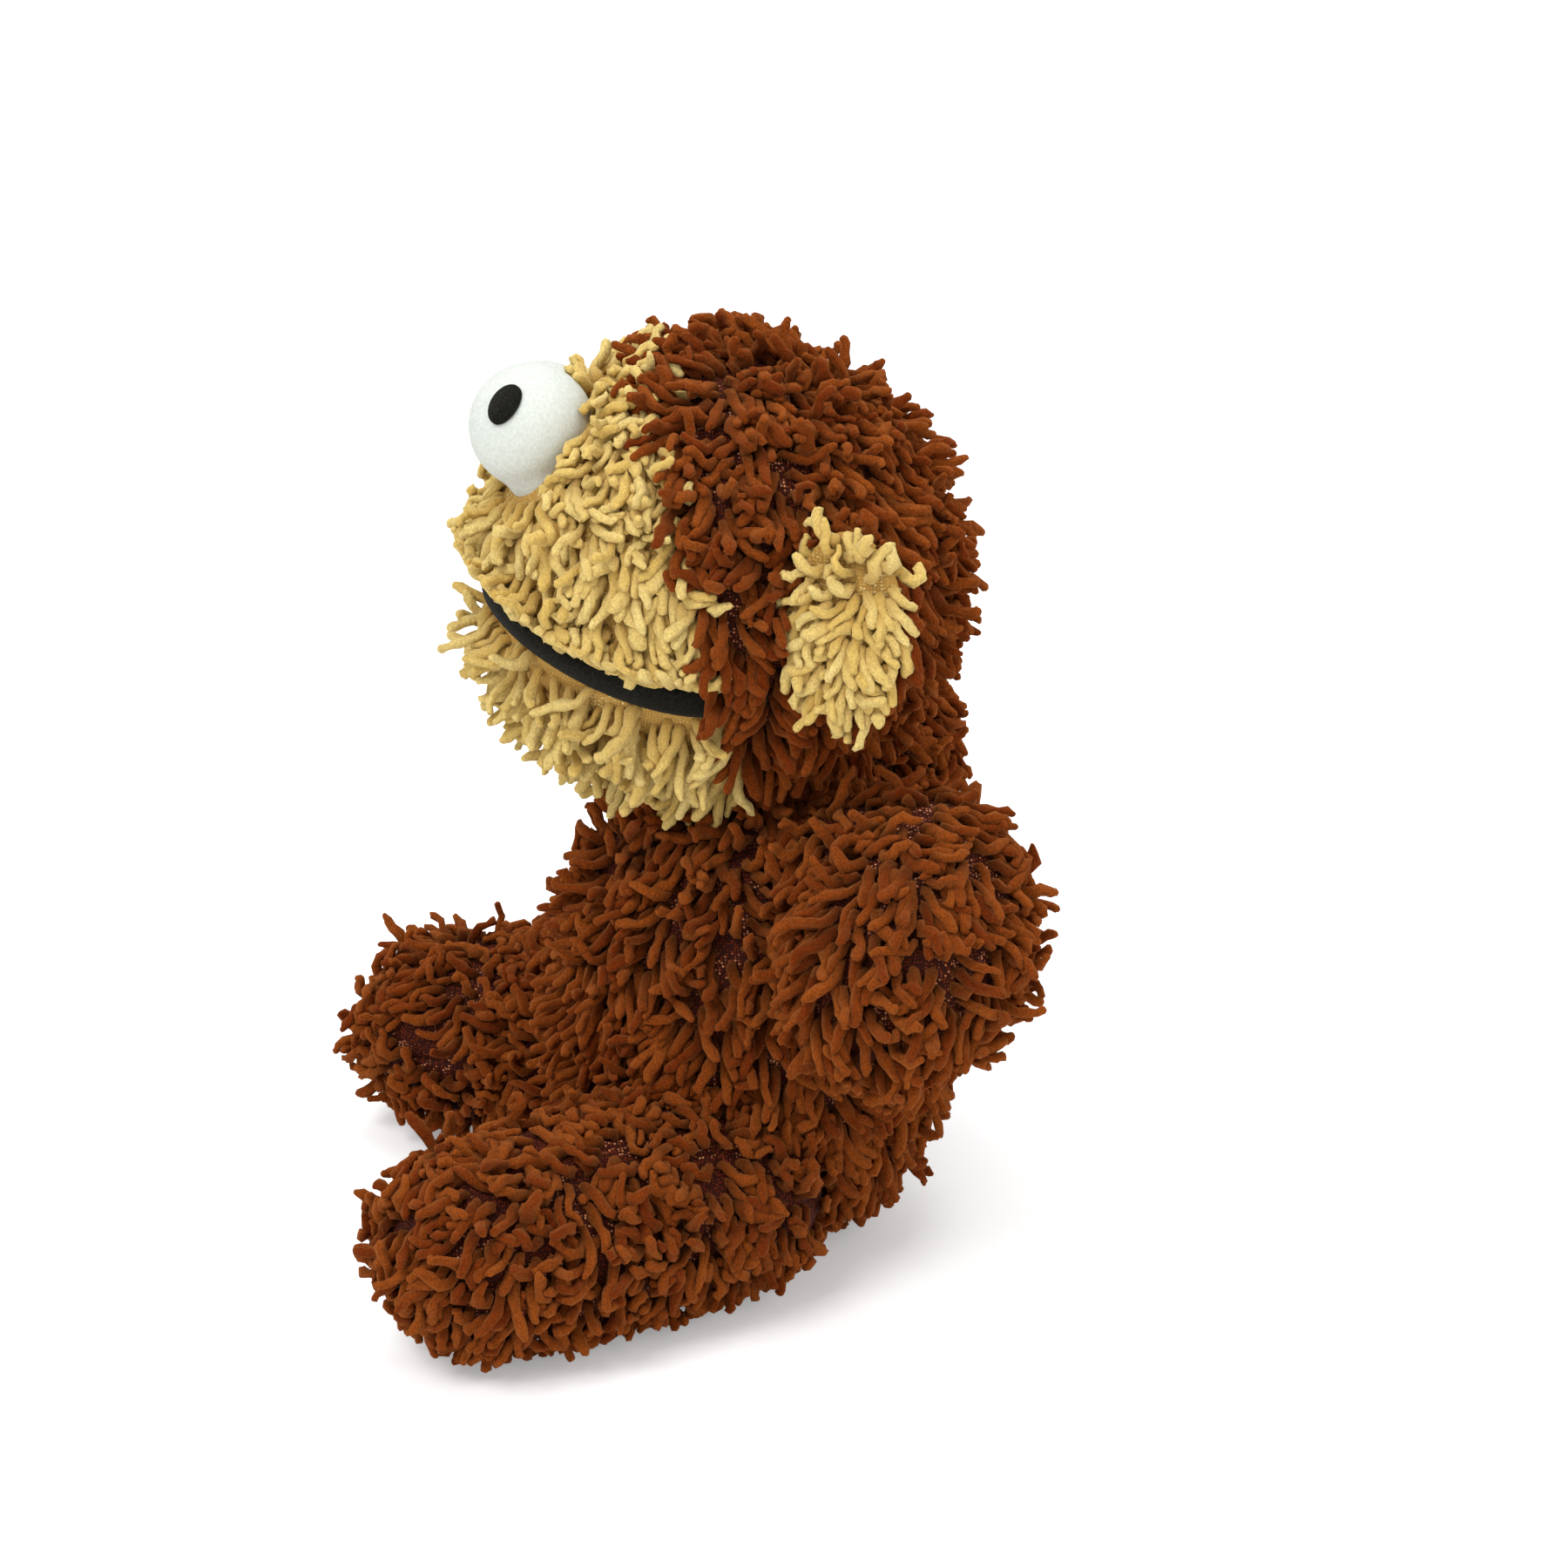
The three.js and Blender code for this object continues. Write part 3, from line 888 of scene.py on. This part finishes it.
    def weave(self, tuft: Tuft, nodes: Points, material: bpy.types.Material) -> bpy.types.Object:
        """Makes one panel's strands into a mesh with an uneven, fuzzy skin.

        Args:
            tuft: The panel.
            nodes: Its laid strands.
            material: Their finish, which reads the attributes "along" and "strand".

        Returns:
            The pile as an object.
        """
        count, rings = len(nodes), len(self.RINGS)
        lines = self.lines_through(nodes)
        radii = np.array(self.PROFILE) * self.rng.uniform(*self.STOUTNESS, (count, 1))
        radii = radii * self.rng.uniform(*self.WAISTS, (count, rings))
        data = self.tubes(tuft.name, lines, radii)
        sides = len(data.vertices) // (count * rings)
        middles = np.repeat(lines.reshape(-1, 3), sides, axis=0)
        skin = np.empty(len(data.vertices) * 3)
        data.vertices.foreach_get("co", skin)
        rough = 1 + self.LUMPS * np.clip(self.rng.normal(size=(len(middles), 1)), -2, 2)
        data.vertices.foreach_set("co", (middles + (skin.reshape(-1, 3) - middles) * rough).ravel())
        along = np.tile(np.repeat(np.array(self.RINGS), sides), count)
        strand = np.repeat(self.rng.random(count), rings * sides)
        for label, values in (("along", along), ("strand", strand)):
            data.attributes.new(label, "FLOAT", "POINT").data.foreach_set("value", values.astype(np.float32))
        data.polygons.foreach_set("use_smooth", np.ones(len(data.polygons), bool))
        data.materials.clear()
        data.materials.append(material)
        return to_scene(tuft.name, data)


# --------------------------------------------------------------------------- the toy


@dataclass
class Head:
    """The round head: hood, face, mouth strip, eyes and ears. Lengths in millimetres from its centre."""

    radii: tuple = (59.0, 60.0, 56.0)
    rise: tuple = (0.0, -2.0, 64.0)  # from the neck's pivot
    lean: float = 5.0  # degrees, towards the right shoulder
    face_turn: float = 6.0  # degrees, towards the right
    seam_forward: float = 3.5
    seam_tilt: float = 12.0
    mouth_front: float = -5.5
    mouth_side: float = -26.5
    mouth_width: float = 7.0
    mouth_thick: float = 1.5
    mouth_ends: float = 104.0  # degrees from the front to each end, under the hood
    mouth_stand: float = 0.012  # how far its edges stand off the face, in head radii
    mouth_crown: float = 0.022  # how much farther its middle does
    eye_forward: dict = field(default_factory=lambda: {Side.LEFT: -46.7, Side.RIGHT: -45.7})
    eye_up: dict = field(default_factory=lambda: {Side.LEFT: 40.0, Side.RIGHT: 35.0})
    eye_aside: float = 17.0
    eye_radius: float = 16.5
    eye_foot: tuple = (0.0, 4.0, -10.0)  # from the ball's centre
    eye_foot_radius: float = 12.0
    pupil: tuple = (5.6, 3.8, 0.9)  # half length, half width, thickness
    pupil_facing: tuple = (0.8, -0.37, 0.49)
    pupil_up: tuple = (-0.21, 0.54, 0.81)
    ear_radii: tuple = (14.5, 2.4, 24.0)
    ear_root: float = 15.0  # degrees behind the widest place
    ear_stand: float = 30.0
    ear_drop: float = 3.0
    ear_gap: float = 3.0  # from the head's pile
    lip_over: tuple = (0.4, 0.3)  # the upper fence's slope with the height off the face, and its own place
    lip_under: tuple = (-0.3, -1.5)

    def __post_init__(self) -> None:
        """Works out where the head stands."""
        lean = (Matrix.Rotation(math.radians(-self.lean), 4, "Y")
                @ Matrix.Rotation(math.radians(-self.face_turn), 4, "Z"))
        self.place = Matrix.Translation(pivot("neck_nod")) @ lean @ Matrix.Translation(Vector(self.rise) * MM)
        self.turn = self.place.to_3x3()
        self.form = Form("head", [Bead(self.place.translation, Vector(self.radii) * MM, self.turn)])
        self.bend = (self.mouth_front - self.mouth_side) / self.radii[1] ** 2 / MM

    def local(self, points: Points) -> Points:
        """Places in the head's own frame."""
        return (points - np.array(self.place.translation)) @ np.array(self.turn)

    def mouth_height(self, y: Points) -> Points:
        """Height of the mouth's middle line, from the head's centre."""
        return self.mouth_side * MM + self.bend * y**2

    def panel_of(self, points: Points) -> Points:
        """The panel that each place belongs to.

        Args:
            points: Places, one a row.

        Returns:
            The names.
        """
        here = self.local(points)
        tilt = math.radians(self.seam_tilt)
        behind = (here[:, 1] + self.seam_forward * MM) * math.cos(tilt) + here[:, 2] * math.sin(tilt)
        over = here[:, 2] - self.mouth_height(here[:, 1])
        hood = np.where(here[:, 0] > 0, "hood_left", "hood_right")
        face = np.where(over > 0, "face_upper", "face_lower")
        return np.where(behind > 0, hood, face)

    def eye_beads(self, side: Side) -> list[Bead]:
        """The eye's ball and the narrower foot that is sewn to the face.

        Args:
            side: The toy's side.

        Returns:
            The two beads.
        """
        centre = Vector((self.eye_aside * side.value, self.eye_forward[side], self.eye_up[side]))
        foot = centre + Vector((self.eye_foot[0] * side.value, *self.eye_foot[1:]))
        return [Bead(self.place @ (spot * MM), Vector((radius,) * 3) * MM, self.turn)
                for spot, radius in ((centre, self.eye_radius), (foot, self.eye_foot_radius))]

    def ear_bead(self, side: Side) -> Bead:
        """The ear's flat pad.

        Args:
            side: The toy's side.

        Returns:
            The bead.
        """
        root = math.radians(self.ear_root)
        grow = PILE_DEPTH / MM
        start = Vector((side.value * (self.radii[0] + grow) * math.cos(root),
                        (self.radii[1] + grow) * math.sin(root), -self.ear_drop))
        standing = 90 + self.ear_root - self.ear_stand
        turn = Matrix.Rotation(math.radians(standing if side is Side.LEFT else 180 - standing), 3, "Z")
        centre = start + turn @ Vector((self.ear_radii[0] + self.ear_gap, 0, 0))
        return Bead(self.place @ (centre * MM), Vector(self.ear_radii) * MM, self.turn @ turn)

    def lip(self, way: int) -> Fence:
        """The fence that keeps the strands over or under the mouth strip on their own side.

        Args:
            way: 1 over the strip, -1 under it.

        Returns:
            The fence.
        """
        up = np.array(self.turn @ Vector((0, 0, way)))
        slope, room = self.lip_over if way > 0 else self.lip_under

        def fence(points: Points) -> tuple[Points, Points]:
            """Measures from the strip's edge.

            Args:
                points: Places, one a row.

            Returns:
                Their distances past the strip's edge, and the way back.
            """
            here = self.local(points)
            over = way * (here[:, 2] - self.mouth_height(here[:, 1]))
            off, _ = self.form.depth(points)
            edge = self.mouth_width / 2 * MM + (slope * off + room * MM)
            return over - edge, np.broadcast_to(up, points.shape)

        return fence


@dataclass
class Limbs:
    """Torso, arms and legs. Lengths in millimetres from the joints' pivots."""

    torso_radii: tuple = (52.0, 51.0, 69.5)
    torso_drop: tuple = (0.0, 9.0, -57.0)  # from the neck's pivot
    side_seam: float = 11.0  # behind the neck's pivot
    arm_middle: tuple = (18.0, 8.0, -10.0)  # from the shoulder's pivot
    arm_radii: tuple = (26.5, 26.5, 36.5)
    arm_hangs: tuple = (0.55, -0.4, -0.73)
    arm_outward: tuple = (0.8, 0.1, 0.55)
    shoulder_radius: float = 18.5
    leg_reach: tuple = ((0.0, 0.0), (17.0, -31.0), (32.0, -64.0))  # across and along, from the hip's pivot
    leg_radii: tuple = (27.5, 27.5, 26.0)
    leg_beads: int = 12

    def torso(self) -> Form:
        """The torso's form."""
        centre = pivot("neck_turn") + Vector(self.torso_drop) * MM
        return Form("torso", [Bead(centre, Vector(self.torso_radii) * MM)])

    def arm(self, side: Side) -> Form:
        """An arm's form: a fat oval over a round shoulder.

        Args:
            side: The toy's side.

        Returns:
            The form.
        """
        shoulder = pivot(f"shoulder_swing_{side.word}")
        along = side.place(*self.arm_hangs).normalized()
        turn = along.to_track_quat("Z", "Y").to_matrix()
        oval = Bead(shoulder + side.place(*self.arm_middle), Vector(self.arm_radii) * MM, turn)
        return Form(f"arm_{side.word}", [oval, Bead(shoulder, Vector((self.shoulder_radius,) * 3) * MM)])

    def leg(self, side: Side) -> Form:
        """A leg's form: a bent sausage.

        Args:
            side: The toy's side.

        Returns:
            The form.
        """
        hip = pivot(f"hip_raise_{side.word}")
        start, middle, end = (np.array(spot) for spot in self.leg_reach)
        beads = []
        for t in np.linspace(0, 1, self.leg_beads):
            across, along = start * (1 - t) * (1 - 2 * t) + middle * 4 * t * (1 - t) + end * t * (2 * t - 1)
            radius = float(np.interp(t, (0, 0.5, 1), self.leg_radii))
            beads.append(Bead(hip + side.place(across, along, 0), Vector((radius,) * 3) * MM))
        return Form(f"leg_{side.word}", beads)


Namer = Callable[[Points], Points]


def halves(middle: Points, facing: Points, front: str, back: str) -> Namer:
    """Names places by their side of a plane.

    Args:
        middle: A place on the plane.
        facing: The direction in which its front looks.
        front: The name of the places before it.
        back: The name of the others.

    Returns:
        What gives each place its name.
    """
    def name_at(points: Points) -> Points:
        """The names of some places."""
        return np.where((points - middle) @ facing > 0, front, back)

    return name_at


class Monkey:
    """The whole toy: its forms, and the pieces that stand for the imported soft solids."""

    CLEAR = 1.5 * MM  # a root this close to another form is left out

    def __init__(self, wardrobe: Wardrobe) -> None:
        """Works out every form."""
        self.wardrobe = wardrobe
        self.rng = np.random.default_rng(SEED)
        self.head = Head()
        self.limbs = Limbs()
        self.torso = self.limbs.torso()
        self.arms = {side: self.limbs.arm(side) for side in Side}
        self.legs = {side: self.limbs.leg(side) for side in Side}
        self.eyes = {side: Form("head", self.head.eye_beads(side)) for side in Side}
        self.ears = {side: Form(f"ear_{side.word}", [self.head.ear_bead(side)]) for side in Side}
        self.forms = [self.head.form, self.torso, *self.arms.values(), *self.legs.values(),
                      *self.eyes.values(), *self.ears.values()]
        self.pile = Pile(self.forms, self.rng)
        self.partings = Waves(self.rng, 14 * MM, 32 * MM)

    def roots_on(self, form: Form, mesh: bmesh.types.BMesh, spacing: float) -> tuple[Points, Points]:
        """Roots on a form where no other form covers it.

        Args:
            form: The form.
            mesh: Its surface.
            spacing: The least distance between two roots in metres.

        Returns:
            The roots and the outward directions there.
        """
        roots = scatter(mesh, spacing, self.rng)
        _, normals = form.depth(roots)
        free = np.ones(len(roots), bool)
        for other in self.forms:
            if other is not form:
                free &= other.depth(roots)[0] > self.CLEAR
        return roots[free], normals[free]

    def dress(self, form: Form, names: Namer, combs: dict[str, Comb]) -> None:
        """Covers a form: one backing piece and one pile for each panel.

        Args:
            form: The padded form.
            names: Gives each place's panel.
            combs: Each panel's comb.
        """
        mesh = form.surface()
        roots, normals = self.roots_on(form, mesh, min(comb.spacing for comb in combs.values()) * MM)
        panels = names(roots)
        owners = names(np.array([face.calc_center_median() for face in mesh.faces]))
        for name, comb in combs.items():
            mine = (panels == name) & (self.partings.at(roots)[:, 0] < comb.parted)
            if comb.fence:
                mine &= comb.fence(roots)[0] > Pile.FENCE_ROOM
            self.pile.tufts.append(Tuft(f"{name}_pile", form.body, roots[mine], normals[mine], comb))
            part = mesh.copy()
            part.faces.ensure_lookup_table()
            extra = [face for face, owner in zip(part.faces, owners) if owner != name]
            bmesh.ops.delete(part, geom=extra, context="FACES")
            bmesh.ops.recalc_face_normals(part, faces=part.faces)
            backing = as_piece(f"{name}_backing", part, self.wardrobe.knit[comb.cloth])
            thicken(backing, BACKING)
            declare(backing, form.body, comb.cloth, name)
        mesh.free()

    def dress_head(self) -> None:
        """Hood, face and their combs."""
        head = self.head
        crown = head.place @ (Vector((0, 34, 46)) * MM)
        brow = head.place @ (Vector((0, -30, 46)) * MM)
        heart = head.place.translation
        hood = Comb(crown, fall=0.45, stray=0.8, stand=(5, 52), lie=(46, 98), length=(13.5, 19))
        combs = {
            "hood_left": hood,
            "hood_right": hood,
            "face_upper": Comb(brow, fall=0.6, stray=0.7, stand=(22, 62), lie=(60, 102), spacing=3.3,
                               parted=1.65, cloth=Cloth.TAN, fence=head.lip(1)),
            "face_lower": Comb(heart, fall=1.4, stray=1.3, stand=(5, 55), lie=(34, 90), length=(13.5, 20.5),
                               spacing=3.2, hem=1.0, parted=1.8, cloth=Cloth.TAN, fence=head.lip(-1)),
        }
        self.dress(head.form, head.panel_of, combs)

    def dress_torso(self) -> None:
        """The front and back panels, which meet at the side seams."""
        seam = np.array((0, pivot("neck_turn").y + self.limbs.side_seam * MM, 0))
        front, back = "torso_front_panel", "torso_back_panel"
        top = self.torso.beads[0].centre + Vector((0, 0, 30)) * MM
        combs = {front: Comb(top, fall=0.7, stand=(5, 45), lie=(40, 88), length=(15, 19), seat=0.5),
                 back: Comb(top, fall=1.0, stand=(25, 65), lie=(70, 112), seat=0.5)}
        self.dress(self.torso, halves(seam, np.array((0, -1, 0)), front, back), combs)

    def dress_limbs(self) -> None:
        """Both arms and both legs."""
        for side in Side:
            arm, leg = self.arms[side], self.legs[side]
            outer, inner = (f"arm_{place}_panel_{side.word}" for place in ("outer", "inner"))
            outward = np.array(side.place(*self.limbs.arm_outward))
            comb = Comb(arm.beads[1].centre, fall=0.6)
            self.dress(arm, halves(np.array(arm.beads[0].centre), outward, outer, inner),
                       {outer: comb, inner: comb})
            upper, sole = (f"leg_{place}_panel_{side.word}" for place in ("upper", "sole"))
            hip = leg.beads[0].centre
            combs = {upper: Comb(hip, fall=0.2, stand=(20, 60), lie=(62, 106)),
                     sole: Comb(hip, fall=0.0, stand=(35, 70), lie=(78, 115), length=(9, 14.5), seat=0.5)}
            self.dress(leg, halves(np.array((0, 0, hip.z)), np.array((0, 0, 1)), upper, sole), combs)

    def dress_ears(self) -> None:
        """Tan fronts and brown backs."""
        for side in Side:
            bead = self.ears[side].beads[0]
            front, back = f"ear_front_{side.word}", f"ear_back_{side.word}"
            facing = np.array(bead.turn @ Vector((0, -side.value, 0)))
            whorl = bead.centre + bead.turn @ (Vector((5, 0, 8)) * MM)
            comb = Comb(whorl, fall=0.4, stray=0.5, stand=(30, 66), lie=(72, 108), length=(9, 14.5),
                        spacing=2.9, parted=4.0)
            self.dress(self.ears[side], halves(np.array(bead.centre), facing, front, back),
                       {front: replace(comb, cloth=Cloth.TAN), back: comb})

    def make_eyes(self) -> None:
        """White fleece balls on their feet, and oval felt pupils."""
        for side in Side:
            node = f"eye_cover_{side.word}"
            cover = as_piece(f"{node}_fleece", self.eyes[side].surface(0.9 * MM, 24), self.wardrobe.fleece)
            declare(cover, "head", Cloth.FLEECE, node)
            self.make_pupil(side)

    def make_pupil(self, side: Side) -> None:
        """A felt oval that lies on the eye's ball.

        Args:
            side: The toy's side.
        """
        head = self.head
        ball = self.eyes[side].beads[0]
        half_length, half_width, thickness = (value * MM for value in head.pupil)
        facing = Vector((head.pupil_facing[0] * side.value, *head.pupil_facing[1:])).normalized()
        up = Vector((head.pupil_up[0] * side.value, *head.pupil_up[1:]))
        up = (up - facing * up.dot(facing)).normalized()
        basis = Matrix((facing.cross(up), up, facing)).transposed()
        mesh = bmesh.new()
        bmesh.ops.create_circle(mesh, cap_ends=True, segments=40, radius=1)
        for _ in range(5):
            inner = max(mesh.faces, key=lambda face: len(face.verts))
            bmesh.ops.inset_region(mesh, faces=[inner], thickness=0.17)
        for vertex in mesh.verts:
            flat = Vector((vertex.co.x * half_width, vertex.co.y * half_length, 0))
            rise = math.sqrt(ball.radii.x**2 - flat.length_squared)
            edge = math.sqrt(max(1 - vertex.co.to_2d().length_squared, 0))
            height = thickness * (RIM + (1 - RIM) * min(edge * ROUNDING, 1))
            out = (flat + Vector((0, 0, rise))).normalized() * (ball.radii.x + height)
            vertex.co = ball.centre + ball.turn @ (basis @ out)
        bmesh.ops.recalc_face_normals(mesh, faces=mesh.faces)
        piece = as_piece(f"pupil_{side.word}_felt", mesh, self.wardrobe.felt)
        thicken(piece, thickness)
        declare(piece, "head", Cloth.FELT, f"pupil_{side.word}")

    def make_mouth(self) -> None:
        """The felt strip that is sewn across the face."""
        head = self.head
        mesh = bmesh.new()
        rows = []
        half = head.mouth_width / 2 * MM
        radii = np.array(head.radii) * MM
        for angle in np.radians(np.linspace(-head.mouth_ends, head.mouth_ends, 90)):
            y = -radii[1] * math.cos(angle)
            row = []
            for share in np.linspace(-1, 1, 7):
                z = float(head.mouth_height(np.array(y))) + share * half * 1.15
                level = math.sqrt(max(1 - (z / radii[2]) ** 2, 0))
                level *= 1 + (1 - share**2) * head.mouth_crown + head.mouth_stand
                spot = Vector((radii[0] * math.sin(angle) * level, y * level, z))
                row.append(mesh.verts.new(head.place @ spot))
            rows.append(row)
        for low, high in zip(rows, rows[1:]):
            for k in range(len(low) - 1):
                mesh.faces.new((low[k], high[k], high[k + 1], low[k + 1]))
        bmesh.ops.recalc_face_normals(mesh, faces=mesh.faces)
        middle = head.place.translation
        if sum(face.normal.dot(face.calc_center_median() - middle) for face in mesh.faces) < 0:
            bmesh.ops.reverse_faces(mesh, faces=mesh.faces)
        strip = as_piece("mouth_strip_felt", mesh, self.wardrobe.felt)
        thicken(strip, head.mouth_thick * MM)
        declare(strip, "head", Cloth.FELT, "mouth_strip")

    def lay_pile(self) -> None:
        """Lays every strand and makes each panel's pile."""
        nodes, rows = self.pile.lay()
        for tuft, mine in zip(self.pile.tufts, rows):
            piece = self.pile.weave(tuft, nodes[mine], self.wardrobe.pile[tuft.comb.cloth])
            declare(piece, tuft.body, tuft.comb.cloth)

    def finish_inner(self) -> None:
        """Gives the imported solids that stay, fill and gussets, their cloth."""
        finishes = {"stuffing": self.wardrobe.fill, "gusset": self.wardrobe.knit[Cloth.BROWN]}
        for name, node in frame["nodes"].items():
            for word, finish in finishes.items():
                if word in name:
                    node.data.materials.clear()
                    node.data.materials.append(finish)


@dataclass
class Stage:
    """Camera, floor and lights."""

    azimuth: float = 83.0  # degrees from the front, to the toy's left
    elevation: float = 20.0
    distance: float = 1.15
    lens: float = 97.9
    aim: tuple = (0.0, 21.8, 128.0)  # in millimetres, like the shifts
    right_shift: float = 8.0
    up_shift: float = 1.2
    lit: tuple = (0.0, 0.02, 0.12)  # where the lamps point
    floor_glow: float = 0.25  # evens the far floor out, and lights nothing else

    def camera(self) -> None:
        """Sets the camera at the toy's left side."""
        azimuth, elevation = math.radians(self.azimuth), math.radians(self.elevation)
        back = Vector((math.sin(azimuth) * math.cos(elevation), -math.cos(azimuth) * math.cos(elevation),
                       math.sin(elevation)))
        turn = back.to_track_quat("Z", "Y")
        data = bpy.data.cameras.new("camera")
        data.lens = self.lens
        data.clip_end = 20
        eye = to_scene("camera", data)
        shift = turn @ Vector((self.right_shift, self.up_shift, 0))
        eye.location = (Vector(self.aim) + shift) * MM + back * self.distance
        eye.rotation_euler = turn.to_euler()
        bpy.context.scene.camera = eye

    def floor(self) -> None:
        """A plain pale floor."""
        mesh = bmesh.new()
        bmesh.ops.create_grid(mesh, x_segments=1, y_segments=1, size=8)
        made, add, surface = new_finish("floor_paint")
        glow = add.maths("MULTIPLY", add.node("LightPath").outputs["Is Camera Ray"], self.floor_glow)
        add.feed(surface, {"Base Color": (0.95, 0.95, 0.95, 1), "Roughness": 0.9, "Specular IOR Level": 0.1,
                           "Emission Color": (1, 1, 1, 1), "Emission Strength": glow})
        ground = as_piece("floor", mesh, made)

    def lamp(self, name: str, where: tuple, size: float, power: float) -> None:
        """A soft square light that faces the toy.

        Args:
            name: The light's name.
            where: Its place in metres.
            size: The length of its sides.
            power: Its power in watts.
        """
        data = bpy.data.lights.new(name, "AREA")
        data.size = size
        data.energy = power
        made = to_scene(name, data)
        made.location = Vector(where)
        made.rotation_euler = (made.location - Vector(self.lit)).to_track_quat("Z", "Y").to_euler()

    def lights(self) -> None:
        """Soft studio light from above and from the camera's side."""
        self.lamp("key", (1.2, -1.0, 1.9), 1.0, 29)
        self.lamp("fill", (1.5, 1.2, 1.0), 1.4, 8.5)
        self.lamp("top", (-0.2, 0.1, 2.2), 1.4, 21)
        world = bpy.data.worlds.new("studio")
        world.use_nodes = True
        sky = {"Color": (1, 1, 1, 1), "Strength": 0.66}
        Shader(world.node_tree).feed(world.node_tree.nodes["Background"], sky)
        bpy.context.scene.world = world
        bpy.context.scene.view_settings.view_transform = "Standard"


def main() -> None:
    """Builds the stage and the toy."""
    logging.basicConfig(level=logging.INFO, format="%(message)s")
    stage = Stage()
    stage.camera()
    stage.floor()
    stage.lights()
    monkey = Monkey(Wardrobe())
    monkey.dress_head()
    monkey.dress_torso()
    monkey.dress_limbs()
    monkey.dress_ears()
    monkey.make_eyes()
    monkey.make_mouth()
    monkey.lay_pile()
    monkey.finish_inner()


if __name__ == "__main__":
    main()
